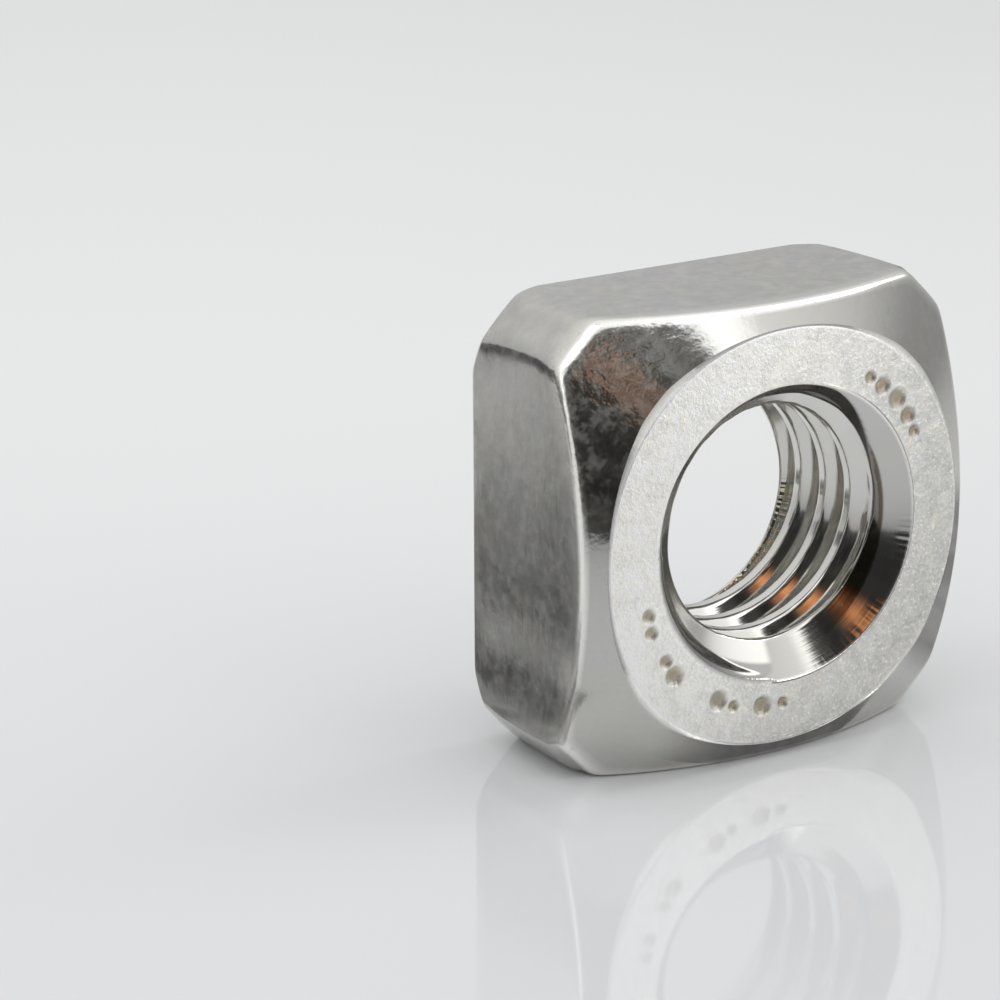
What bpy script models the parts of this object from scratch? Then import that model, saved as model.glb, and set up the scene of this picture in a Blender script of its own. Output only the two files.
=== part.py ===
"""Square nut, M10 x 1.5, 17 mm across flats, in stainless steel.

Metres, +Z up. The nut stands on one of its flats. Its thread runs along Y, the origin is on the
thread's axis at half the thickness, and the bearing ring faces -Y.

It is one cold-formed piece: a square blank with its corners cut off, crowned in front down to a round
bearing ring, trimmed at its back corners, bored, countersunk from both faces and threaded.

The nut is drawn lying down, with its axis along +Z and the ring on top, and an empty stands it up.
"""

import math

import bmesh
import bpy
from mathutils import Vector

MM = 0.001

# The square blank
ACROSS_FLATS = 17.0 * MM
THICKNESS = 7.7 * MM
CORNER_CUT = 1.55 * MM  # leg of the 45 degree cut on each corner
CORNER_SOFTENING = 0.16 * MM  # how far the edges of that cut are rounded back
EDGE_ROUNDING = 0.24 * MM  # the flats' front and back edges

# The crown in front, and the trim of the back corners
RING_SET_IN = 0.70 * MM  # from the middle of a flat in to the bearing ring
CROWN_ANGLE = math.radians(32.0)  # the crown's fall behind the ring
BACK_TRIM = 0.80 * MM  # from a corner in to where the back face starts to fall
BACK_TRIM_ANGLE = math.radians(37.0)

# The thread: ISO metric, right-handed, with 60 degrees between its flanks
THREAD_DIAMETER = 10.0 * MM
THREAD_PITCH = 1.5 * MM
THREAD_HALF_ANGLE = math.radians(30.0)
THREAD_CLOCK = math.radians(130.0)  # where the groove crosses half thickness, from +X towards +Z
BORE_OVERSIZE = 0.03 * MM  # how far the crests stop short of the thread's basic height

# The countersinks
FRONT_FLARE = 0.73 * MM  # how far each mouth is wider than the thread, in radius
BACK_FLARE = 0.55 * MM
COUNTERSINK_HALF_ANGLE = math.radians(50.0)
LIP_RADIUS = 0.55 * MM  # the roll of each mouth's edge

# How finely round shapes are cut into flats
ROUND_STEPS = 72
LIP_STEPS = 3
SOFTENING_STEPS = 2
ROUNDING_STEPS = 2

CUTTER_REACH = 1.0 * MM  # how far each cutting form stands out of what it cuts
SHARP_FROM = math.radians(45.0)  # edges sharper than this are rounded
CREASE_FROM = math.radians(25.0)  # edges sharper than this are shaded as edges

HALF_ACROSS = ACROSS_FLATS / 2
FRONT = THICKNESS / 2
BACK = -THICKNESS / 2
CORNER_RADIUS = math.hypot(HALF_ACROSS, HALF_ACROSS - CORNER_CUT)
RING_RADIUS = HALF_ACROSS - RING_SET_IN
THREAD_RADIUS = THREAD_DIAMETER / 2

# An ISO thread is cut from a triangle as high as this. The groove keeps an eighth of the pitch flat at
# its root, and the crests stand five eighths of the triangle above it.
THREAD_TRIANGLE = THREAD_PITCH / (2 * math.tan(THREAD_HALF_ANGLE))
ROOT_FLAT = THREAD_PITCH / 8
BORE_RADIUS = THREAD_RADIUS - THREAD_TRIANGLE * 5 / 8 + BORE_OVERSIZE


def clear_scene():
    for item in list(bpy.data.objects):
        bpy.data.objects.remove(item)


def new_collection(name, hidden=False):
    collection = bpy.data.collections.new(name)
    collection.hide_render = hidden
    bpy.context.scene.collection.children.link(collection)
    return collection


def new_object(name, mesh, collection, stand):
    item = bpy.data.objects.new(name, mesh)
    item.parent = stand
    collection.objects.link(item)
    return item


def as_cutter(item):
    item.hide_render = True
    item.display_type = "WIRE"
    return item


def stainless_steel():
    material = bpy.data.materials.new("stainless_steel")
    material.use_nodes = True
    shader = material.node_tree.nodes["Principled BSDF"]
    shader.inputs["Base Color"].default_value = (0.60, 0.59, 0.57, 1.0)
    shader.inputs["Metallic"].default_value = 1.0
    shader.inputs["Roughness"].default_value = 0.28
    return material


def along(start, direction, distance):
    """The point this far from start in a direction, in a turned section's plane."""
    return start + direction.normalized() * distance


def turned(name, section, collection, stand):
    """A solid of revolution about Z. The section runs from the axis on top, down the outside, to the
    axis below."""
    mesh = bpy.data.meshes.new(name)
    points = [(point.x, 0.0, point.y) for point in section]
    edges = [(i, i + 1) for i in range(len(points) - 1)]
    mesh.from_pydata(points, edges, [])
    item = new_object(name, mesh, collection, stand)
    screw = item.modifiers.new("Turn", "SCREW")
    screw.axis = "Z"
    screw.angle = math.tau
    screw.steps = ROUND_STEPS
    screw.render_steps = ROUND_STEPS
    screw.use_merge_vertices = True
    screw.merge_threshold = 1e-6
    return item


def upright_edges(mesh):
    return [e for e in mesh.edges if abs(e.verts[0].co.z - e.verts[1].co.z) > THICKNESS / 2]


def blank(name, collection, stand):
    """The square prism with its corners cut off, longer than the nut so the crown form sets both
    faces."""
    mesh = bmesh.new()
    bmesh.ops.create_cube(mesh, size=1.0)
    length = THICKNESS + 2 * CUTTER_REACH
    bmesh.ops.scale(mesh, vec=(ACROSS_FLATS, ACROSS_FLATS, length), verts=mesh.verts)
    bmesh.ops.bevel(
        mesh,
        geom=upright_edges(mesh),
        offset=CORNER_CUT,
        segments=1,
        affect="EDGES",
    )
    bmesh.ops.bevel(
        mesh,
        geom=upright_edges(mesh),
        offset=CORNER_SOFTENING,
        segments=SOFTENING_STEPS,
        profile=0.5,
        affect="EDGES",
    )
    data = bpy.data.meshes.new(name)
    mesh.to_mesh(data)
    mesh.free()
    return new_object(name, data, collection, stand)


def crown_form(collection, stand):
    """What the dies and the chamfering tool leave of the blank: a flat ring in front, a cone falling
    away from it over the corners, and a shorter cone that takes the points off the back corners."""
    outside = CORNER_RADIUS + CUTTER_REACH
    back_radius = CORNER_RADIUS - BACK_TRIM
    crown_fall = (outside - RING_RADIUS) * math.tan(CROWN_ANGLE)
    back_fall = (outside - back_radius) * math.tan(BACK_TRIM_ANGLE)
    section = [
        Vector((0.0, FRONT)),
        Vector((RING_RADIUS, FRONT)),
        Vector((outside, FRONT - crown_fall)),
        Vector((outside, BACK + back_fall)),
        Vector((back_radius, BACK)),
        Vector((0.0, BACK)),
    ]
    return turned("crown_form", section, collection, stand)


def mouth_section(mouth_radius, face, outward):
    """A countersink's outline, from above the face in to the bore: out along the roll's first facet,
    round the lip, then down the cone. outward is 1 for the front face and -1 for the back."""
    slope = math.pi / 2 - COUNTERSINK_HALF_ANGLE
    cone = Vector((-math.cos(slope), -outward * math.sin(slope)))
    corner = Vector((mouth_radius, face))
    tangent = LIP_RADIUS * math.tan(slope / 2)
    centre = Vector((mouth_radius + tangent, face - outward * LIP_RADIUS))
    lip = []
    for step in range(LIP_STEPS + 1):
        turn = slope * step / LIP_STEPS
        lip.append(centre + LIP_RADIUS * Vector((-math.sin(turn), outward * math.cos(turn))))
    first_facet = lip[0] - lip[1]
    rise = CUTTER_REACH / 8
    start = along(lip[0], first_facet, rise / math.sin(slope / (2 * LIP_STEPS)))
    foot = along(corner, cone, (mouth_radius - BORE_RADIUS) / math.cos(slope))
    return [start, *lip, foot]


def bore_form(collection, stand):
    """The bore at the thread's crests, with a countersink at each end."""
    front = mouth_section(THREAD_RADIUS + FRONT_FLARE, FRONT, 1)
    back = mouth_section(THREAD_RADIUS + BACK_FLARE, BACK, -1)
    top = FRONT + CUTTER_REACH
    bottom = BACK - CUTTER_REACH
    section = [
        Vector((0.0, top)),
        Vector((front[0].x, top)),
        *front,
        *reversed(back),
        Vector((back[0].x, bottom)),
        Vector((0.0, bottom)),
    ]
    return turned("bore_form", section, collection, stand)


def thread_groove(collection, stand):
    """The groove of the thread: its section, a trapezium open towards the axis, carried along a
    right-handed helix from beyond one face to beyond the other."""
    inside = BORE_RADIUS - THREAD_PITCH / 12
    root = ROOT_FLAT / 2
    mouth = root + (THREAD_RADIUS - inside) * math.tan(THREAD_HALF_ANGLE)
    reach = (THICKNESS / 2) / THREAD_PITCH + 0.9
    start_height = -reach * THREAD_PITCH
    start_turn = THREAD_CLOCK - math.tau * reach
    section = [
        (inside, -mouth),
        (THREAD_RADIUS, -root),
        (THREAD_RADIUS, root),
        (inside, mouth),
    ]
    mesh = bmesh.new()
    corners = []
    for radius, height in section:
        place = (
            radius * math.cos(start_turn),
            radius * math.sin(start_turn),
            start_height + height,
        )
        corners.append(mesh.verts.new(place))
    mesh.faces.new(corners)
    steps = round(2 * reach * ROUND_STEPS)
    bmesh.ops.spin(
        mesh,
        geom=mesh.verts[:] + mesh.edges[:] + mesh.faces[:],
        cent=(0.0, 0.0, 0.0),
        axis=(0.0, 0.0, 1.0),
        dvec=(0.0, 0.0, 2 * reach * THREAD_PITCH / steps),
        angle=2 * reach * math.tau,
        steps=steps,
    )
    bmesh.ops.recalc_face_normals(mesh, faces=mesh.faces)
    data = bpy.data.meshes.new("thread_groove")
    mesh.to_mesh(data)
    mesh.free()
    return new_object("thread_groove", data, collection, stand)


def cut(item, tool, operation):
    boolean = item.modifiers.new(tool.name, "BOOLEAN")
    boolean.operation = operation
    boolean.solver = "EXACT"
    boolean.object = as_cutter(tool)


def round_edges(item):
    bevel = item.modifiers.new("Edges", "BEVEL")
    bevel.width = EDGE_ROUNDING
    bevel.segments = ROUNDING_STEPS
    bevel.limit_method = "ANGLE"
    bevel.angle_limit = SHARP_FROM


def settle(item):
    """Makes the modifiers' result the object's own mesh, and shades it smooth between its edges."""
    bpy.context.view_layer.update()
    graph = bpy.context.evaluated_depsgraph_get()
    result = bpy.data.meshes.new_from_object(item.evaluated_get(graph))
    result.name = item.name
    item.modifiers.clear()
    item.data = result
    result.shade_smooth()
    result.set_sharp_from_angle(angle=CREASE_FROM)


def build():
    clear_scene()
    parts = new_collection("square_nut")
    cutters = new_collection("cutters", hidden=True)
    stand = bpy.data.objects.new("stand", None)
    stand.rotation_euler.x = math.pi / 2
    parts.objects.link(stand)

    nut = blank("square_nut", parts, stand)
    cut(nut, crown_form(cutters, stand), "INTERSECT")
    round_edges(nut)
    cut(nut, bore_form(cutters, stand), "DIFFERENCE")
    cut(nut, thread_groove(cutters, stand), "DIFFERENCE")
    settle(nut)
    nut.data.materials.clear()
    nut.data.materials.append(stainless_steel())


build()
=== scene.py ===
"""The looks of the square nut: its dressed surface, its steel, and a plain pale studio around it.

Metres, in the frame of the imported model. The nut stands on a flat, +Z up. Its thread runs along Y and
its bearing ring faces -Y. Angles round the thread are taken from +X towards +Z.
"""

import math

import bpy
import numpy as np
from mathutils import Matrix, Vector


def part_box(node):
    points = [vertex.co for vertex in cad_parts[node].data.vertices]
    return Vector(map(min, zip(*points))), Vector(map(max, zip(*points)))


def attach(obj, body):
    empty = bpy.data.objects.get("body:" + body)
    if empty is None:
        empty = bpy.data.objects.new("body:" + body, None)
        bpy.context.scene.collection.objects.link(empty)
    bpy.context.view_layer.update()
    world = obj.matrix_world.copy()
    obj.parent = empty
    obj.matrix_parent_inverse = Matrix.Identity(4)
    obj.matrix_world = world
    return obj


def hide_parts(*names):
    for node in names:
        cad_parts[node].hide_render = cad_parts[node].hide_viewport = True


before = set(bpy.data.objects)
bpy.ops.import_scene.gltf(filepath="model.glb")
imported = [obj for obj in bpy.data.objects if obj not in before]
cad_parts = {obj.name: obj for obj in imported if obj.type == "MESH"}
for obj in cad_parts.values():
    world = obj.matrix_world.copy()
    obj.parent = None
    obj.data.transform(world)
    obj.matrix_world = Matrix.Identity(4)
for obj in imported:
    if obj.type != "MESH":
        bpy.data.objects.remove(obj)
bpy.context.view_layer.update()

MM = 0.001

# The nut's outside: the frame's box gives its size, and the rest is the blank's own form
BOX_LOW, BOX_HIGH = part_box("square_nut")
HALF_ACROSS = BOX_HIGH.x
FRONT = BOX_LOW.y
BACK = BOX_HIGH.y
CORNER_CUT = 1.55 * MM
CUT_NARROWING = 0.28 * MM  # how much shorter the cut's leg is halfway along the flats
CORNER_ROLL = 0.095 * MM  # how deep the softening bites where the corner cuts meet the flats
EDGE_RADIUS = 0.46 * MM  # the roll between the crown and the flats
EDGE_RADIUS_AT_CUTS = 0.62 * MM
CUTS_FROM, CUTS_TO = 0.55, 0.95  # over minus the cosine of four times the direction
BACK_EDGE_RADIUS = 0.24 * MM

RING_RADIUS = 7.80 * MM
RING_SQUARENESS = 0.009  # the ring reaches this share further towards the corners
RING_OFF_CENTRE = (0.10 * MM, -0.09 * MM)
RING_EDGE_RADIUS = 0.10 * MM
CROWN_ANGLE = math.radians(32.0)
BACK_TRIM_RADIUS = 10.10 * MM
BACK_TRIM_ANGLE = math.radians(37.0)
TRIM_SOFTNESS = 0.04 * MM  # how softly the trim fades out along the flats

# The thread: ISO metric, 60 degrees between its flanks, its crests cut off by the bore
PITCH = 1.5 * MM
ROOT_RADIUS = 5.06 * MM
CREST_RADIUS = 4.34 * MM
ROOT_FLAT = 0.26 * MM
FLANK_RISE = math.sqrt(3)
THREAD_CLOCK = math.radians(102.0)  # where the groove crosses half thickness
THREAD_OFF_CENTRE = (0.0, 0.19 * MM)
THREAD_ROLL = 0.014 * MM  # how softly the crests and roots turn

# The front mouth is pressed with the blank: a rolled lip, a steep wall and a shallow cone below it. It
# is then opened by a wider countersink that ran off centre, so the edge is crisp on the right and the
# pressed lip is left on the left. Angles of walls and cones are measured from the axis.
WALL_REACH = 5.67 * MM  # where the lip starts to roll over
WALL_NARROWER_RIGHT = 0.45 * MM
WALL_OFF_CENTRE = (-0.03 * MM, -0.02 * MM)
WALL_ANGLE = math.radians(30.0)
LIP_ROLL = 0.10 * MM
LIP_ROLL_BELOW_LEFT = 0.60 * MM
CONE_REACH = 6.16 * MM  # where the cone's line meets the face
CONE_NARROWER_BELOW_RIGHT = 0.66 * MM
CONE_ANGLE = math.radians(58.0)

# The sides that those differences belong to, in degrees: the range over which each comes in, and the
# one over which it goes out. Below left crosses 180 degrees, so what lies beside it is given instead.
RIGHT = ((-100, -60), (75, 15))
BELOW_RIGHT = ((-130, -88), (5, -25))
NOT_BELOW_LEFT = ((-100, -60), (190, 148))

# Radius where the cone's line meets the face, half angle, roll of the lip, place of the centre
TURNED_MOUTH = (5.52 * MM, math.radians(58.0), 0.08 * MM, (0.34 * MM, -0.03 * MM))
BACK_MOUTH = (5.75 * MM, math.radians(43.0), 0.45 * MM, (0.0, 0.0))
MOUTH_ROLL = 0.010 * MM
RIDGE_ROLL = 0.030 * MM  # how softly the first turn of the thread stands in the mouth

# The grid: columns round the thread, rows along the section
COLUMNS = 440
LIP_ROWS = 12  # rows in the first part of each mouth, closest at the face
LIP_REACH = 0.34 * MM
BORE_ROWS = 110
RING_ROWS = 42
RIM_ROWS = 4
CROWN_ROWS = 10
SHOULDER_ROWS = 9
FLAT_ROWS = 8
HEEL_ROWS = 5  # in each of the heel's two fillets
BACK_ROWS = 8

# Where the columns close up: at the corner cuts' edges and beside the marks
EDGE_CLOSER = 2.5
EDGE_SPREAD = math.radians(1.4)
MARKS_CLOSER = 1.3
MARK_SECTORS = ((196.0, 278.0), (28.0, 62.0))
MARK_SECTOR_FADE = 3.0

# The marks pressed into the ring, which are plain round dots: place in the ring's plane and radius, in
# millimetres
MARKS = (
    (-5.98, -1.95, 0.30),
    (-5.86, -2.62, 0.30),
    (-5.22, -3.80, 0.30),
    (-4.85, -4.42, 0.42),
    (-2.90, -5.75, 0.42),
    (-2.22, -6.10, 0.24),
    (-0.92, -6.35, 0.42),
    (0.02, -6.40, 0.24),
    (3.72, 5.32, 0.26),
    (4.28, 4.92, 0.36),
    (4.98, 4.34, 0.42),
    (5.48, 3.62, 0.36),
    (5.80, 2.98, 0.26),
)
MARK_DEPTH = 0.09 * MM
MARK_LIP = 0.012 * MM
MARK_LIP_WIDTH = 0.07  # in millimetres


def smooth_share(values, low, high):
    """A smooth step from 0 to 1 as the values go from low to high: 3 s squared minus 2 s cubed of the
    share s of the way."""
    share = np.clip((values - low) / (high - low), 0, 1)
    return share * share * (3 - 2 * share)


def in_degrees(angle):
    """Directions in degrees, from -180 to 180."""
    return (np.degrees(angle) + 180) % 360 - 180


def side_share(degrees, side):
    """How much a direction belongs to a side: one smooth step in, times one out."""
    comes_in, goes_out = side
    return smooth_share(degrees, *comes_in) * smooth_share(degrees, *goes_out)


def soft_min(values, softness):
    """The smallest of several arrays, rounded where two are nearly equal: minus the logarithm of the
    summed exponentials of minus each, all over the softness."""
    stack = np.stack(np.broadcast_arrays(*values)) / softness
    lowest = stack.min(axis=0)
    return softness * (lowest - np.log(np.exp(lowest - stack).sum(axis=0)))


def soft_max(values, softness):
    """The largest of several arrays, rounded in the same way."""
    return -soft_min([-np.asarray(v) for v in values], softness)


def toward(angle, off_centre):
    """How much further a slightly off-centre circle reaches in this direction: its centre's place
    times the direction."""
    return off_centre[0] * np.cos(angle) + off_centre[1] * np.sin(angle)


def outline_radius(angle, corner_cut=CORNER_CUT):
    """The distance from the axis to the nut's softened eight-sided outline: of the distances to the
    eight planes along this direction, the soft minimum."""
    reach = (2 * HALF_ACROSS - corner_cut) / math.sqrt(2)
    distances = []
    for side in range(8):
        normal = side * math.pi / 4
        depth = reach if side % 2 else HALF_ACROSS
        facing = np.maximum(np.cos(angle - normal), 0.3)
        distances.append(depth / facing)
    return soft_min(distances, CORNER_ROLL / math.log(2))


def corner_swell(angle, depth):
    """How much fuller the outline stands beside the corner cuts halfway along the flats: the outline
    with a shorter cut minus the outline, times a parabola that is zero at both faces."""
    share = 1 - (depth / BACK) ** 2
    return (outline_radius(angle, CORNER_CUT - CUT_NARROWING) - outline_radius(angle)) * share


def ring_radius(angle):
    """The bearing ring's edge: a circle that reaches a little further towards the corners."""
    square = RING_RADIUS * (1 - RING_SQUARENESS * np.cos(4 * angle))
    return square + toward(angle, RING_OFF_CENTRE)


def mark_depth(x, z):
    """How far the marks sink below the ring at a place in its plane, and how much residue lies there.
    Each dot has a flat floor: over the distance from its centre as a share of its radius, its wall is
    a smooth step, and a low lip is pushed up just outside as a Gaussian."""
    sunk = np.zeros_like(x)
    lip = np.zeros_like(x)
    grime = np.zeros_like(x)
    for centre_x, centre_z, radius in MARKS:
        away = np.hypot(x - centre_x * MM, z - centre_z * MM) / (radius * MM)
        sunk = np.maximum(sunk, smooth_share(away, 1.0, 0.50))
        lip = np.maximum(lip, np.exp(-(((away - 1.12) * radius / MARK_LIP_WIDTH) ** 2)))
        grime = np.maximum(grime, np.exp(-((away / 0.85) ** 4)))
    return MARK_DEPTH * sunk - MARK_LIP * lip * (1 - sunk), grime


def thread_turns(angle, depth):
    """How many pitches a place lies from the groove, counted along the helix."""
    return -depth / PITCH - (angle - THREAD_CLOCK) / math.tau


def thread_radius(angle, depth):
    """The thread's surface as a radius over direction and place along Y. From the groove's middle the
    radius stays at the root for its flat, then falls along the flank to the crest, and both ends of
    the flank are rolled."""
    turns = thread_turns(angle, depth)
    from_groove = np.abs(turns - np.round(turns)) * PITCH
    flank = ROOT_RADIUS - (from_groove - ROOT_FLAT / 2) * FLANK_RISE
    cut = soft_max([flank, CREST_RADIUS], THREAD_ROLL)
    return soft_min([cut, ROOT_RADIUS], THREAD_ROLL) + toward(angle, THREAD_OFF_CENTRE)


def rolled_wall(below, reach, half_angle, roll):
    """A wall that starts from a face: under the face it rolls over as a circle's arc, whose radius is
    the roll, and then it goes straight in at its half angle. The reach is where the roll starts."""
    turn = math.pi / 2 - half_angle
    rolled_to = roll * (1 - math.cos(turn))
    under = np.clip(below, 0, rolled_to)
    arc_part = reach - np.sqrt(2 * roll * under - under**2)
    straight_part = reach - roll * math.sin(turn) - math.tan(half_angle) * (below - rolled_to)
    return np.where(below < rolled_to, arc_part, straight_part)


def mouth_radius(angle, below, mouth):
    """A countersink's surface, as a radius over direction and depth below its face: a rolled wall."""
    reach, half_angle, roll, off_centre = mouth
    start = reach + roll * math.tan((math.pi / 2 - half_angle) / 2)
    return rolled_wall(below, start, half_angle, roll) + toward(angle, off_centre)


def pressed_radius(angle, below):
    """The pressed mouth's surface: the nearer to the axis of a steep rolled wall and a shallow cone.
    The wall is narrower on the right, its lip rolls wider below left, and the cone is narrower below
    right."""
    degrees = in_degrees(angle)
    below_left = 1 - side_share(degrees, NOT_BELOW_LEFT)
    roll = LIP_ROLL + (LIP_ROLL_BELOW_LEFT - LIP_ROLL) * below_left
    wall_reach = WALL_REACH - WALL_NARROWER_RIGHT * side_share(degrees, RIGHT)
    wall = rolled_wall(below, wall_reach, WALL_ANGLE, roll) + toward(angle, WALL_OFF_CENTRE)
    cone_reach = CONE_REACH - CONE_NARROWER_BELOW_RIGHT * side_share(degrees, BELOW_RIGHT)
    cone = cone_reach - math.tan(CONE_ANGLE) * below
    return soft_min([wall, cone], RIDGE_ROLL)


def bore_radius(angle, depth):
    """The bore's surface: the furthest out of the thread and the mouths, since each cut takes metal
    away. The turned mouth was cut last, so its edges are the sharpest."""
    inner = soft_max(
        [
            thread_radius(angle, depth),
            pressed_radius(angle, depth - FRONT),
            mouth_radius(angle, BACK - depth, BACK_MOUTH),
        ],
        RIDGE_ROLL,
    )
    return soft_max([inner, mouth_radius(angle, depth - FRONT, TURNED_MOUTH)], MOUTH_ROLL)


def bore_depths():
    """The bore rows' places along Y, from the back face to the front. They close up at both faces as
    the square of the row's number, because the lips roll over there."""
    near = LIP_REACH * (np.arange(LIP_ROWS) / LIP_ROWS) ** 2
    middle = np.linspace(BACK - LIP_REACH, FRONT + LIP_REACH, BORE_ROWS)
    return np.concatenate([BACK - near, middle, (FRONT + near)[::-1]])


def fillet(corner, came, leaves, radius, rows):
    """A fillet of a section's corner, as rows of (radius, depth) pairs. It starts where the incoming
    line leaves the corner's tangent length, and turns evenly to the outgoing direction."""
    turn = math.acos(np.clip(np.dot(came, leaves), -1, 1))
    inward = np.array(leaves) - np.array(came) * math.cos(turn)
    inward = inward / np.linalg.norm(inward)
    tangent = radius * math.tan(turn / 2)
    points = []
    for step in np.linspace(0, turn, rows):
        forward = radius * math.sin(step) - tangent
        across = radius * (1 - math.cos(step))
        points.append(
            (
                corner[0] + came[0] * forward + inward[0] * across,
                corner[1] + came[1] * forward + inward[1] * across,
            )
        )
    return points


def between(start, end, rows):
    """The rows strictly between two rows, evenly spaced."""
    shares = np.arange(1, rows + 1) / (rows + 1)
    return [tuple(s + (e - s) * share for s, e in zip(start, end)) for share in shares]


def section(angle):
    """The nut's section in each direction, as rows of (radius, depth) arrays, and each row's zone. It
    runs through the bore from the back face to the front, out over the ring, the crown, the flat and
    the back edge, and in over the back face to where it began."""
    outward = (1.0, 0.0)
    inward = (-1.0, 0.0)
    backward = (0.0, 1.0)
    crown = (math.cos(CROWN_ANGLE), math.sin(CROWN_ANGLE))
    trim = (-math.cos(BACK_TRIM_ANGLE), math.sin(BACK_TRIM_ANGLE))
    outside = outline_radius(angle)
    ring = ring_radius(angle)

    bore = [(bore_radius(angle, depth), np.full_like(angle, depth)) for depth in bore_depths()]
    rim = fillet((ring, FRONT), outward, crown, RING_EDGE_RADIUS, RIM_ROWS)
    crown_foot = (outside, FRONT + (outside - ring) * math.tan(CROWN_ANGLE))
    at_cuts = smooth_share(-np.cos(4 * angle), CUTS_FROM, CUTS_TO)
    edge_radius = EDGE_RADIUS + (EDGE_RADIUS_AT_CUTS - EDGE_RADIUS) * at_cuts
    shoulder = fillet(crown_foot, crown, backward, edge_radius, SHOULDER_ROWS)
    least_trim = BACK_EDGE_RADIUS * math.cos(BACK_TRIM_ANGLE) * (
        math.tan(math.pi / 4 - BACK_TRIM_ANGLE / 2) + math.tan(BACK_TRIM_ANGLE / 2)
    )
    trimmed = soft_max([outside - BACK_TRIM_RADIUS, least_trim], TRIM_SOFTNESS)
    heel_foot = (outside, BACK - trimmed * math.tan(BACK_TRIM_ANGLE))
    heel = fillet(heel_foot, backward, trim, BACK_EDGE_RADIUS, HEEL_ROWS)
    back_rim = fillet((outside - trimmed, BACK), trim, inward, BACK_EDGE_RADIUS, HEEL_ROWS)
    flat = between(shoulder[-1], heel[0], FLAT_ROWS)

    parts = [
        ("bore", bore),
        ("ring", between(bore[-1], rim[0], RING_ROWS)),
        ("rim", rim),
        ("crown", between(rim[-1], shoulder[0], CROWN_ROWS)),
        ("shoulder", shoulder),
        ("flat", [(reach + corner_swell(angle, depth), depth) for reach, depth in flat]),
        ("heel", heel + back_rim),
        ("back", between(back_rim[-1], bore[0], BACK_ROWS)),
    ]
    rows = [tuple(np.broadcast_to(v, angle.shape) for v in row) for _, part in parts for row in part]
    zones = np.array([name for name, part in parts for _ in part])
    return np.array(rows), zones


def column_angles():
    """The directions of the columns: the running total of a weight is cut into even parts, so they are
    closer together where it is high, which is where the corner cuts roll into the flats and beside the
    marks."""
    fine = np.linspace(0, math.tau, 7200, endpoint=False)
    weight = np.ones_like(fine)
    turn = math.atan2(HALF_ACROSS - CORNER_CUT, HALF_ACROSS)
    for quarter in range(4):
        for edge in (quarter * math.pi / 2 + turn, quarter * math.pi / 2 - turn):
            away = (fine - edge + math.pi) % math.tau - math.pi
            weight += EDGE_CLOSER * np.exp(-((away / EDGE_SPREAD) ** 2))
    for low, high in MARK_SECTORS:
        sector = ((low - MARK_SECTOR_FADE, low), (high + MARK_SECTOR_FADE, high))
        weight += MARKS_CLOSER * side_share(np.degrees(fine), sector)
    total = np.concatenate([[0], np.cumsum(weight)])
    wanted = np.arange(COLUMNS) / COLUMNS * total[-1]
    return np.interp(wanted, total, np.append(fine, math.tau))


def closed_grid(name, points):
    """A mesh of quads over a grid of points that closes on itself both ways."""
    row_count, column_count = points.shape[:2]
    here = np.arange(row_count * column_count).reshape(row_count, column_count)
    aside = np.roll(here, -1, axis=1)
    ahead = np.roll(here, -1, axis=0)
    both = np.roll(ahead, -1, axis=1)
    corners = np.stack([here, ahead, both, aside], axis=-1).reshape(-1)
    mesh = bpy.data.meshes.new(name)
    mesh.vertices.add(row_count * column_count)
    mesh.vertices.foreach_set("co", points.reshape(-1))
    mesh.loops.add(len(corners))
    mesh.loops.foreach_set("vertex_index", corners)
    mesh.polygons.add(len(corners) // 4)
    mesh.polygons.foreach_set("loop_start", np.arange(0, len(corners), 4))
    mesh.update(calc_edges=True)
    mesh.shade_smooth()
    return mesh


# The steel's finishes, three outside and three in the bore. The lip is the pressed part of a mouth.
FINISHES = ("ring", "crown", "side", "mouth", "thread", "lip")
CUT_BLEND = 0.03 * MM  # over how much difference in radius one cut's finish gives way to the next

# Where the tools chattered: the sector, the thread's last turn and the front mouth's edge
CHATTER_SECTOR = ((-78, -60), (4, -14))
CHATTER_TURN = (BACK - 1.9 * MM, BACK - 1.6 * MM)
CHATTER_EDGE = (5.25 * MM, 5.65 * MM)
CHATTER_AT_EDGE = 0.4


def bore_shares(angle, radius, depth):
    """How much of each place in the bore is turned mouth, pressed mouth and thread. The cut that
    reaches furthest out holds a place, and a smooth step over the difference blends two cuts."""
    turned = mouth_radius(angle, depth - FRONT, TURNED_MOUTH)
    pressed = np.maximum(
        pressed_radius(angle, depth - FRONT),
        mouth_radius(angle, BACK - depth, BACK_MOUTH),
    )
    thread = thread_radius(angle, depth)
    turned_share = smooth_share(turned - np.maximum(pressed, thread), -CUT_BLEND, CUT_BLEND)
    pressed_share = smooth_share(pressed - thread, -CUT_BLEND, CUT_BLEND) * (1 - turned_share)
    return turned_share, pressed_share, 1 - turned_share - pressed_share


def chatter_share(angle, radius, depth, in_bore):
    """Where the tools chattered: on the last turn of the thread and, less, along the front mouth's
    edge, both in the sector below right, as products of smooth steps."""
    sector = side_share(in_degrees(angle), CHATTER_SECTOR)
    last_turn = smooth_share(depth, *CHATTER_TURN)
    edge = CHATTER_AT_EDGE * smooth_share(radius, *CHATTER_EDGE) * (depth < 0)
    share = np.zeros_like(radius)
    share[in_bore] = (sector * np.maximum(last_turn, edge))[in_bore]
    return share


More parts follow.
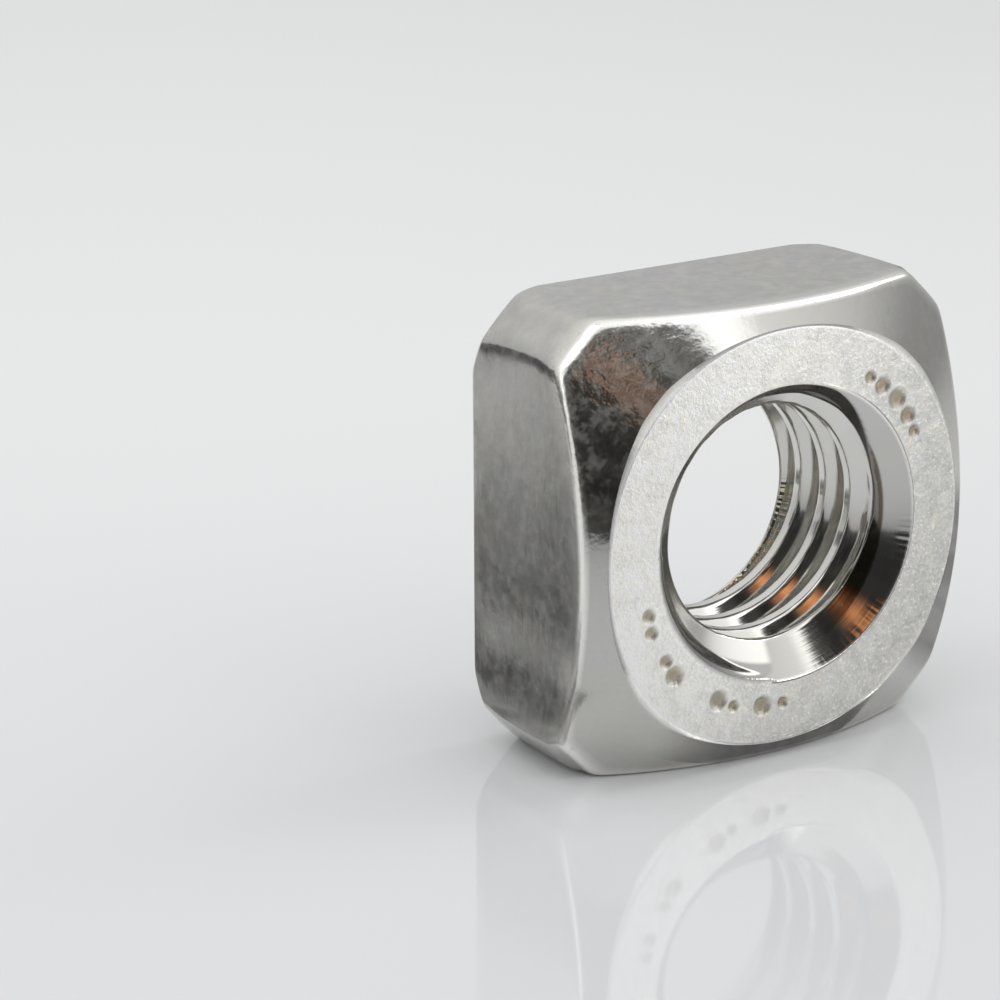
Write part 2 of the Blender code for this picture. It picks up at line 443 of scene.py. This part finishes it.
def dressed_nut():
    """The nut's surface: its section in every column's direction, turned into x as radius times cosine, z
    as radius times sine and y as depth, with the marks sunk into the ring. Its finishes, its wear and its
    painted highlights go with it as attributes."""
    angle = column_angles()
    rows, zones = section(angle)
    radius, depth = rows[:, 0], rows[:, 1].copy()
    x, z = radius * np.cos(angle), radius * np.sin(angle)

    ring_rows = zones == "ring"
    sunk, residue = mark_depth(x[ring_rows], z[ring_rows])
    depth[ring_rows] += sunk
    points = np.stack([x, depth, z], axis=-1)
    mesh = closed_grid("dressed_nut", points)

    shares = np.zeros((len(FINISHES),) + radius.shape)
    in_bore = zones == "bore"
    turned, pressed, thread = bore_shares(angle, radius[in_bore], depth[in_bore])
    shares[0][ring_rows | (zones == "rim")] = 1
    shares[1][(zones == "crown") | (zones == "shoulder")] = 1
    shares[2][(zones == "flat") | (zones == "heel") | (zones == "back")] = 1
    shares[3][in_bore] = turned
    shares[4][in_bore] = thread
    still_ring = pressed * smooth_share(depth[in_bore], FRONT + 0.08 * MM, FRONT)
    shares[0][in_bore] = still_ring
    shares[5][in_bore] = pressed - still_ring
    add_attribute(mesh, "finish_outside", "FLOAT_VECTOR", np.stack(shares[:3], axis=-1))
    add_attribute(mesh, "finish_inside", "FLOAT_VECTOR", np.stack(shares[3:], axis=-1))

    # Wear on the shoulders and the rim, and a painted highlight along the turned mouth's front edge. In
    # the colour all of it is painted paler, partly as real wear and partly as a painted highlight.
    wear_and_highlight = np.zeros_like(radius)
    shoulder_rows = np.flatnonzero(zones == "shoulder")
    wear_and_highlight[shoulder_rows] = np.sin(np.linspace(0.15, 0.85, len(shoulder_rows)) * math.pi)[:, None]
    wear_and_highlight[zones == "rim"] = 0.5
    wear_and_highlight[in_bore] = smooth_share(depth[in_bore], FRONT + 0.06 * MM, FRONT) * turned
    add_attribute(mesh, "wear_and_highlight", "FLOAT", wear_and_highlight)
    grime = np.zeros_like(radius)
    grime[ring_rows] = residue
    add_attribute(mesh, "residue", "FLOAT", grime)

    add_attribute(mesh, "chatter", "FLOAT", chatter_share(angle, radius, depth, in_bore))

    turns = thread_turns(angle, depth) * math.tau
    lines = np.stack([np.cos(turns), np.sin(turns), depth / MM], axis=-1)
    add_attribute(mesh, "thread_lines", "FLOAT_VECTOR", lines)

    nut = bpy.data.objects.new("dressed_nut", mesh)
    bpy.context.scene.collection.objects.link(nut)
    return nut


def add_attribute(mesh, name, kind, values):
    attribute = mesh.attributes.new(name, kind, "POINT")
    attribute.data.foreach_set("vector" if kind == "FLOAT_VECTOR" else "value", values.reshape(-1))


# The camera, as worked out from the photograph
CAMERA_AZIMUTH = math.radians(32.76)
CAMERA_ELEVATION = math.radians(17.20)
CAMERA_ROLL = math.radians(-0.27)
CAMERA_DISTANCE = 139.0 * MM
CAMERA_ASIDE = 8.220 * MM
CAMERA_BELOW = -0.383 * MM
CAMERA_NEARER = 0.08 * MM
FOCAL_SHARE = 3.7792  # focal length over the frame's width
SENSOR = 36.0


def place_camera():
    azimuth, elevation = CAMERA_AZIMUTH, CAMERA_ELEVATION
    look = Vector(
        (
            math.sin(azimuth) * math.cos(elevation),
            math.cos(azimuth) * math.cos(elevation),
            -math.sin(elevation),
        )
    )
    right = Vector((math.cos(azimuth), -math.sin(azimuth), 0.0))
    up = right.cross(look)
    place = -look * CAMERA_DISTANCE - right * CAMERA_ASIDE - up * CAMERA_BELOW
    place.y -= CAMERA_NEARER
    turned_right = right * math.cos(CAMERA_ROLL) + up * math.sin(CAMERA_ROLL)
    turned_up = up * math.cos(CAMERA_ROLL) - right * math.sin(CAMERA_ROLL)
    data = bpy.data.cameras.new("camera")
    data.lens = FOCAL_SHARE * SENSOR
    data.sensor_width = SENSOR
    data.clip_start = 0.005
    camera = bpy.data.objects.new("camera", data)
    camera.matrix_world = Matrix(
        (
            (turned_right.x, turned_up.x, -look.x, place.x),
            (turned_right.y, turned_up.y, -look.y, place.y),
            (turned_right.z, turned_up.z, -look.z, place.z),
            (0, 0, 0, 1),
        )
    )
    bpy.context.scene.collection.objects.link(camera)
    bpy.context.scene.camera = camera


class Nodes:
    """Adds shader nodes to a tree. An input given as a number is set on the socket, and one given as
    another node's output is linked to it."""

    def __init__(self, tree):
        self.tree = tree

    def add(self, kind, inputs=(), **settings):
        node = self.tree.nodes.new("ShaderNode" + kind)
        for name, value in settings.items():
            setattr(node, name, value)
        for name, value in dict(inputs).items():
            self.put(node.inputs[name], value)
        return node

    def put(self, socket, value):
        if isinstance(value, bpy.types.NodeSocket):
            self.tree.links.new(value, socket)
        else:
            socket.default_value = value

    def end(self, shader, output="OutputMaterial"):
        self.put(self.add(output).inputs["Surface"], shader.outputs[0])

    def math(self, operation, first, second):
        return self.add("Math", {0: first, 1: second}, operation=operation).outputs[0]

    def times(self, first, second):
        return self.math("MULTIPLY", first, second)

    def plus(self, first, second):
        return self.math("ADD", first, second)

    def total(self, *values):
        result = values[0]
        for value in values[1:]:
            result = self.plus(result, value)
        return result

    def vector(self, operation, first, *second):
        inputs = dict(enumerate((first, *second)))
        return self.add("VectorMath", inputs, operation=operation).outputs["Vector"]

    def dot(self, first, second):
        return self.add("VectorMath", {0: first, 1: second}, operation="DOT_PRODUCT").outputs["Value"]

    def length(self, place):
        return self.add("VectorMath", {0: place}, operation="LENGTH").outputs["Value"]

    def xyz(self, place):
        return self.add("SeparateXYZ", {"Vector": place}).outputs

    def blend(self, factor, low, high):
        """From low to high as the factor goes from 0 to 1."""
        node = self.add("Mix", data_type="FLOAT")
        self.put(node.inputs["Factor"], factor)
        self.put(node.inputs[2], low)
        self.put(node.inputs[3], high)
        return node.outputs[0]

    def tint(self, factor, low, high, blend_type="MIX"):
        """A colour blend."""
        node = self.add("Mix", data_type="RGBA", blend_type=blend_type)
        self.put(node.inputs["Factor"], factor)
        self.put(node.inputs[6], low)
        self.put(node.inputs[7], high)
        return node.outputs[2]

    def step(self, value, low, high, start=0.0, end=1.0):
        """A smooth step from start to end as the value goes from low to high."""
        node = self.add(
            "MapRange",
            {"Value": value, "From Min": low, "From Max": high, "To Min": start, "To Max": end},
            interpolation_type="SMOOTHSTEP",
        )
        return node.outputs["Result"]

    def noise(self, place, scale, detail=2.0, roughness=0.5):
        """Cloudy noise from about 0 to 1, with this many blotches per unit."""
        node = self.add(
            "TexNoise",
            {"Vector": place, "Scale": scale, "Detail": detail, "Roughness": roughness},
        )
        return node.outputs[0]

    def clouds(self, place, scale, low, high):
        """Soft clouds between two levels."""
        return self.step(self.noise(place, scale, 3.0), 0.3, 0.7, low, high)

    def stretched(self, place, scale):
        return self.add("Mapping", {"Vector": place, "Scale": scale}).outputs[0]

    def attribute(self, name, output="Fac"):
        return self.add("Attribute", attribute_name=name).outputs[output]

    def millimetres(self):
        """Object coordinates in millimetres."""
        place = self.add("TexCoord").outputs["Object"]
        node = self.add("VectorMath", {0: place, "Scale": 1 / MM}, operation="SCALE")
        return node.outputs["Vector"]


def new_material(name):
    material = bpy.data.materials.new(name)
    material.use_nodes = True
    tree = material.node_tree
    tree.nodes.clear()
    return material, Nodes(tree)


def by_finish(nodes, **values):
    """A value that depends on the finish: the shares of the six finishes times one value each."""
    sums = []
    for name, finishes in (("finish_outside", FINISHES[:3]), ("finish_inside", FINISHES[3:])):
        weights = [values.get(finish, 0.0) for finish in finishes]
        sums.append(nodes.dot(nodes.attribute(name, "Vector"), weights))
    return nodes.plus(*sums)


def layered(nodes, *layers):
    """The sum of several patterns, each times what every finish has of it."""
    return nodes.total(*(nodes.times(by_finish(nodes, **has), pattern) for pattern, has in layers))


class SteelPatterns:
    """The noises and masks that the steel's relief, roughness and colour share. Places are in
    millimetres from the thread's axis."""

    def __init__(self, nodes):
        place = nodes.millimetres()
        self.wear_and_highlight = nodes.attribute("wear_and_highlight")
        self.residue = nodes.attribute("residue")
        self.chatter = nodes.attribute("chatter")

        self.cloud = nodes.noise(place, 0.45, 3.0)
        self.blotch = nodes.noise(place, 1.3, 3.0, 0.6)
        self.mottle = nodes.noise(place, 2.2, 3.0, 0.65)
        self.peel = nodes.noise(place, 2.7, 2.0, 0.55)
        self.grain = nodes.noise(place, 9.0, 3.0, 0.65)
        self.sparkle = nodes.noise(place, 22.0, 1.0)
        self.uneven = nodes.math("SUBTRACT", self.blotch, 0.5)
        self.speckle = nodes.math("SUBTRACT", self.grain, 0.5)

        # What tools leave: upright streaks, rings in the mouth, lines along the thread, and ticks across
        # it. The thread's own attribute runs once round per turn, so its lines follow the helix.
        along_thread = nodes.attribute("thread_lines", "Vector")
        self.streaks = nodes.noise(nodes.stretched(place, (1.0, 2.0, 0.32)), 1.0, 4.0, 0.65)
        self.turning = nodes.noise(nodes.stretched(place, (0.12, 26.0, 0.12)), 1.0, 2.0)
        self.threading = nodes.noise(nodes.stretched(along_thread, (7.0, 7.0, 0.2)), 1.0, 2.0)
        ring_plane = nodes.vector("MULTIPLY", place, (1.0, 0.0, 1.0))
        self.ticks = nodes.noise(nodes.vector("NORMALIZE", ring_plane), 36.0, 0.0)

        self.reach = nodes.length(ring_plane)
        self.doming = nodes.times(self.reach, self.reach)
        self.right, _, upward = nodes.xyz(place)
        self.below = nodes.step(upward, -0.5, -3.2)

        # The crown is roughest towards the corner above left, where the blank was upset the most. The
        # ring is painted paler above left, as painted light falling from that side, and the edges'
        # painted highlight is brightest there too.
        self.upset = nodes.step(nodes.dot(place, (-0.85, 0.0, 0.53)), 7.3, 9.0)
        self.pale = nodes.step(nodes.dot(place, (-0.95, 0.0, 0.30)), -8.0, 6.0, 0.68, 1.0)
        # Worn edges, which the colour also paints paler as a painted highlight.
        self.edge_wear_and_highlight = nodes.times(self.wear_and_highlight, nodes.step(self.grain, 0.18, 0.45))


def steel_relief(nodes, steel):
    """A bump whose heights are in millimetres."""
    upset_peel = nodes.times(nodes.blend(steel.upset, 0.25, 1.0), steel.peel)
    height = layered(
        nodes,
        (steel.grain, dict(ring=0.018, lip=0.003)),
        (steel.sparkle, dict(ring=0.008)),
        (steel.peel, dict(ring=0.030)),
        (steel.doming, dict(ring=-0.0035)),
        (upset_peel, dict(crown=0.020)),
        (steel.mottle, dict(side=0.006)),
        (steel.streaks, dict(side=0.009)),
        (steel.turning, dict(mouth=0.0025)),
        (steel.threading, dict(thread=0.0012)),
        (nodes.times(steel.chatter, steel.ticks), dict(mouth=0.025, thread=0.040)),
    )
    return nodes.add("Bump", {"Height": height, "Distance": MM, "Strength": 1.0}).outputs[0]


def steel_metallic(nodes, steel):
    """Metal, less a thin haze of scale that comes and goes with the mottling."""
    haze = nodes.plus(
        by_finish(nodes, side=0.14, ring=0.10),
        layered(nodes, (nodes.blend(steel.upset, 0.05, 0.16), dict(crown=1.0))),
    )
    return nodes.math("SUBTRACT", 1.0, nodes.times(nodes.step(steel.mottle, 0.42, 0.66), haze))


def steel_roughness(nodes, steel):
    return nodes.total(
        by_finish(nodes, ring=0.42, crown=0.12, side=0.17, mouth=0.11, thread=0.09, lip=0.14),
        layered(nodes, (steel.uneven, dict(ring=0.22, crown=0.05, side=0.30))),
        nodes.times(steel.edge_wear_and_highlight, 0.14),
    )


WARM_STEEL = (1.0, 0.990, 0.935, 1)
COOL_STEEL = (1.0, 0.994, 0.958, 1)
STAIN = (0.78, 0.70, 0.50, 1)
STRAW = (0.86, 0.74, 0.46, 1)
# Painted shade for the dark band where the mouth meets the thread
MOUTH_SHADE = (0.10, 0.08, 0.05, 1)
RESIDUE = (0.30, 0.23, 0.12, 1)


def steel_colour(nodes, steel):
    """A tinted brightness, with painted light that makes the ring paler above left, painted highlights on
    the edges and painted shade on the pressed lip. Then stains on the ring, straw-coloured ticks on the
    thread, painted shade as a dark band where the mouth meets the thread on the right, and residue in the
    marks."""
    # Painted shade on the pressed lip: dark above, and below paler towards its inner edge.
    lip = nodes.blend(steel.below, 0.18, nodes.step(steel.reach, 5.0, 4.85, 0.42, 0.88))
    bright = nodes.total(
        by_finish(nodes, crown=0.57, side=0.56, mouth=0.59, thread=0.73),
        layered(
            nodes,
            # The ring's brightness is painted light, paler above left.
            (steel.pale, dict(ring=1.0)),
            (lip, dict(lip=1.0)),
            (steel.uneven, dict(ring=0.36, side=0.22)),
            (nodes.math("SUBTRACT", steel.peel, 0.5), dict(ring=0.24)),
            (steel.speckle, dict(ring=0.45, side=0.10)),
            (nodes.step(steel.grain, 0.60, 0.70), dict(ring=0.30)),
        ),
        # Edges painted paler, partly real wear and partly a painted highlight, brightest above left with
        # the painted light.
        nodes.times(nodes.times(steel.edge_wear_and_highlight, steel.pale), 0.42),
    )
    plain = nodes.tint(nodes.step(steel.cloud, 0.35, 0.65), WARM_STEEL, COOL_STEEL)
    colour = nodes.tint(1.0, plain, bright, "MULTIPLY")

    stained = layered(nodes, (nodes.step(steel.peel, 0.60, 0.72), dict(ring=0.30)))
    ticked = nodes.times(steel.chatter, nodes.step(steel.ticks, 0.4, 0.6))
    ticked = layered(nodes, (ticked, dict(thread=0.7)))
    # Painted shade: a dark band where the turned mouth meets the thread on the right.
    mouth_shade = nodes.times(nodes.step(steel.reach, 4.98, 4.88), nodes.step(steel.right, 1.8, 3.6))
    mouth_shade = nodes.times(mouth_shade, nodes.step(steel.grain, 0.15, 0.42))
    mouth_shade = layered(nodes, (mouth_shade, dict(mouth=0.90)))
    colour = nodes.tint(stained, colour, STAIN)
    colour = nodes.tint(ticked, colour, STRAW)
    colour = nodes.tint(mouth_shade, colour, MOUTH_SHADE)
    return nodes.tint(nodes.times(steel.residue, 0.75), colour, RESIDUE)


def stainless_steel():
    material, nodes = new_material("stainless_steel")
    steel = SteelPatterns(nodes)
    shader = nodes.add(
        "BsdfPrincipled",
        {
            "Metallic": steel_metallic(nodes, steel),
            "Base Color": steel_colour(nodes, steel),
            "Roughness": steel_roughness(nodes, steel),
            "Normal": steel_relief(nodes, steel),
        },
    )
    nodes.end(shader)
    return material


# The studio: a pale floor and surround, soft boxes, and glowing cards that only the steel mirrors, which
# are painted reflections and painted shade. Directions are an azimuth from -Y towards +X and an
# elevation, in degrees.
FLOOR_HALF_WIDTH = 2.5
FLOOR_HEIGHT = BOX_LOW.z
# Painted shade near the viewer and painted light far off, against the lamps' light falling off
FLOOR_NEAR = (0.705, 0.712, 0.725, 1)
FLOOR_FAR = (0.825, 0.83, 0.835, 1)

# Direction, width and height, radiance, and whether the box lights only the nut. The low ones do, since
# the glossy floor would mirror them in views from behind.
BOX_DISTANCE = 0.30
SOFT_BOXES = {
    "front_box": ((31, 9), (0.09, 0.07), 5.2, True),
    "high_box": ((84, 44), (0.13, 0.17), 1.8, False),
    "top_box": ((-80, 62), (0.24, 0.20), 0.8, False),
    "side_box": ((-86, 20), (0.05, 0.14), 1.6, True),
}

# The cards, in millimetres. The flag's outline is across and up, and the others' corners are places.
FLAG_DISTANCE = 58
FLAG_AZIMUTH = -14
FLAG_OUTLINE = ((-70, -8.4), (50, -8.4), (50, 43), (27, 57), (-70, 57))
GREY_CARD = ((-23, 0, -8.4), (-19, 27, -8.4), (-19, 27, 8.0), (-23, 0, 8.0))
FOOT_CARD = ((-22.0, -6.0), (-9.0, 30.0))
LOW_CARD_LIFT = 0.05

# Painted shade that the steel mirrors in place of the floor, in front of the nut and to its right.
# Two corners, the level of grey, and the ranges along X over which the card comes in and goes out
EVEN_CARDS = {
    "front_card": ((-6.0, -4.5), (8.0, -3.2), 0.15, (-5.6, -1.8), (4, 8)),
    "right_card": ((8.2, -8.0), (45.0, 10.0), 0.33, (8.2, 12), (30, 45)),
}


def add_panel(name, corners, material):
    mesh = bpy.data.meshes.new(name)
    mesh.from_pydata([tuple(corner) for corner in corners], [], [tuple(range(len(corners)))])
    mesh.materials.append(material)
    panel = bpy.data.objects.new(name, mesh)
    bpy.context.scene.collection.objects.link(panel)
    return panel


def add_card(name, corners, material):
    """A panel that only reflections show. Its corners are in millimetres."""
    card = add_panel(name, [Vector(corner) * MM for corner in corners], material)
    card.visible_camera = False
    card.visible_diffuse = False
    card.visible_shadow = False
    card.visible_transmission = False


def add_low_card(name, low, high, material):
    """A card that lies just above the floor."""
    height = BOX_LOW.z / MM + LOW_CARD_LIFT
    corners = ((high[0], low[1]), high, (low[0], high[1]), low)
    add_card(name, [(x, y, height) for x, y in corners], material)


def add_floor():
    half = FLOOR_HALF_WIDTH
    corners = ((-half, -half), (half, -half), (half, half), (-half, half))
    add_panel("floor", [(x, y, FLOOR_HEIGHT) for x, y in corners], floor_material())


def floor_material():
    """White, with painted shade towards the viewer and painted light far off, which evens out the lamps'
    light falling off with distance.
    """
    material, nodes = new_material("white_floor")
    away = nodes.dot(nodes.millimetres(), (0.45, 0.84, 0.0))
    colour = nodes.tint(nodes.step(away, -30.0, 60.0), FLOOR_NEAR, FLOOR_FAR)
    nodes.end(nodes.add("BsdfPrincipled", {"Base Color": colour, "Roughness": 0.05, "IOR": 1.47}))
    return material


def glow_one_side(nodes, colour, missing=0.0):
    """Lets a card be seen only by what it faces, so the floor doesn't mirror its back, and only as far
    as it isn't missing."""
    away = nodes.add("NewGeometry").outputs["Backfacing"]
    mixed = nodes.add("MixShader")
    nodes.put(mixed.inputs[0], nodes.math("MAXIMUM", away, missing))
    nodes.put(mixed.inputs[1], nodes.add("Emission", {"Color": colour}).outputs[0])
    nodes.put(mixed.inputs[2], nodes.add("BsdfTransparent").outputs[0])
    nodes.end(mixed)


def spot(nodes, place, centre, spread):
    """A soft round spot: one at its centre, and none from its spread outwards."""
    distance = nodes.length(nodes.vector("SUBTRACT", place, centre))
    return nodes.step(distance, spread, 0.2 * spread)


def flag_material(at):
    """A glowing card that paints a dark reflection: nearly black, with a grey part and two warm spots,
    painted reflections that the steel picks up. at gives the place that is so far across and up."""
    material, nodes = new_material("dark_flag")
    place = nodes.millimetres()
    colour = nodes.tint(spot(nodes, place, at(4, 50), 24), (0.03, 0.03, 0.028, 1), (0.17, 0.17, 0.165, 1))
    colour = nodes.tint(spot(nodes, place, at(-2, 34), 10), colour, (0.42, 0.28, 0.22, 1))
    colour = nodes.tint(spot(nodes, place, at(15, 23), 11), colour, (0.46, 0.19, 0.08, 1))
    glow_one_side(nodes, nodes.tint(1.0, colour, nodes.clouds(place, 0.13, 0.3, 2.2), "MULTIPLY"))
    return material


def add_flag():
    facing = toward_direction(FLAG_AZIMUTH, 0)
    across = Vector((-facing.y, facing.x, 0))

    def at(u, v):
        return facing * FLAG_DISTANCE + across * u + Vector((0, 0, v))

    add_card("dark_flag", [at(u, v) for u, v in reversed(FLAG_OUTLINE)], flag_material(at))


def grey_card_material():
    """A painted reflection for the left flat: grey, paler with height up to a dark band, with soft
    upright streaks.
    """
    material, nodes = new_material("grey_card")
    place = nodes.millimetres()
    height = nodes.xyz(place)["Z"]
    pale = nodes.plus(nodes.step(height, -8.0, 1.2, 0.24, 0.54), nodes.step(height, 1.8, 2.8, 0.0, -0.44))
    streaks = nodes.clouds(nodes.stretched(place, (1.0, 1.0, 0.4)), 0.35, 0.6, 1.4)
    glow_one_side(nodes, nodes.times(pale, streaks))
    return material


def foot_card_material():
    """Soft bands of grey that follow X, as the foot of something upright would mirror and shade."""
    material, nodes = new_material("foot_card")
    place = nodes.millimetres()
    across = nodes.xyz(place)["X"]
    bands = nodes.total(
        0.13,
        nodes.step(across, -12.2, -11.4, 0.0, 0.18),
        nodes.step(across, -17.6, -16.8, 0.0, 0.25),
        nodes.step(across, -14.9, -14.1, 0.0, -0.25),
    )
    glow_one_side(nodes, nodes.times(bands, nodes.clouds(place, 0.5, 0.7, 1.3)))
    return material


def even_card_material(name, level, comes_in, goes_out):
    """Painted shade: an even grey with soft clouds, which comes in and goes out along X."""
    material, nodes = new_material(name)
    place = nodes.millimetres()
    across = nodes.xyz(place)["X"]
    missing = nodes.plus(nodes.step(across, *comes_in, 1.0, 0.0), nodes.step(across, *goes_out))
    glow_one_side(nodes, nodes.clouds(place, 0.5, 0.8 * level, 1.2 * level), missing)
    return material


def toward_direction(azimuth, elevation):
    azimuth, elevation = math.radians(azimuth), math.radians(elevation)
    return Vector(
        (
            math.sin(azimuth) * math.cos(elevation),
            -math.cos(azimuth) * math.cos(elevation),
            math.sin(elevation),
        )
    )


def soft_box(name, direction, size, radiance, receivers):
    """An area lamp that faces the nut. Its power is its radiance times pi and its area. It lights only
    its receivers, if it has any."""
    width, height = size
    data = bpy.data.lights.new(name, "AREA")
    data.shape = "RECTANGLE"
    data.size = width
    data.size_y = height
    data.energy = radiance * math.pi * width * height
    lamp = bpy.data.objects.new(name, data)
    lamp.location = direction * BOX_DISTANCE
    lamp.rotation_euler = direction.to_track_quat("Z", "Y").to_euler()
    lamp.visible_camera = False
    lamp.light_linking.receiver_collection = receivers
    bpy.context.scene.collection.objects.link(lamp)


def surround():
    """The pale surround: its colour is a smooth function of direction, brighter above and darker on the
    right, with a broad glow and a small bright patch where the key light is."""
    world = bpy.data.worlds.new("surround")
    bpy.context.scene.world = world
    world.use_nodes = True
    world.node_tree.nodes.clear()
    nodes = Nodes(world.node_tree)
    direction = nodes.add("TexCoord").outputs["Generated"]
    right, _, upward = nodes.xyz(direction)
    light = nodes.total(
        nodes.step(upward, 0.0, 0.9, 0.62, 0.86),
        nodes.step(right, 0.4, 0.9, 0.0, -0.24),
        nodes.step(nodes.dot(direction, toward_direction(52, 46)), 0.70, 0.97, 0.0, 0.34),
        nodes.step(nodes.dot(direction, toward_direction(18, 38)), 0.965, 0.998, 0.0, 0.80),
    )
    nodes.end(nodes.add("Background", {"Color": light}), "OutputWorld")


place_camera()
nut = dressed_nut()
nut.data.materials.append(stainless_steel())
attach(nut, "root")
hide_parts("square_nut")

add_floor()
surround()
nut_alone = bpy.data.collections.new("lit_by_low_boxes")
nut_alone.objects.link(nut)
for name, (direction, size, radiance, only_nut) in SOFT_BOXES.items():
    soft_box(name, toward_direction(*direction), size, radiance, nut_alone if only_nut else None)

add_flag()
add_card("grey_card", GREY_CARD, grey_card_material())
add_low_card("foot_card", *FOOT_CARD, foot_card_material())
for name, (low, high, *levels) in EVEN_CARDS.items():
    add_low_card(name, low, high, even_card_material(name, *levels))
bpy.context.scene.view_settings.view_transform = "Standard"
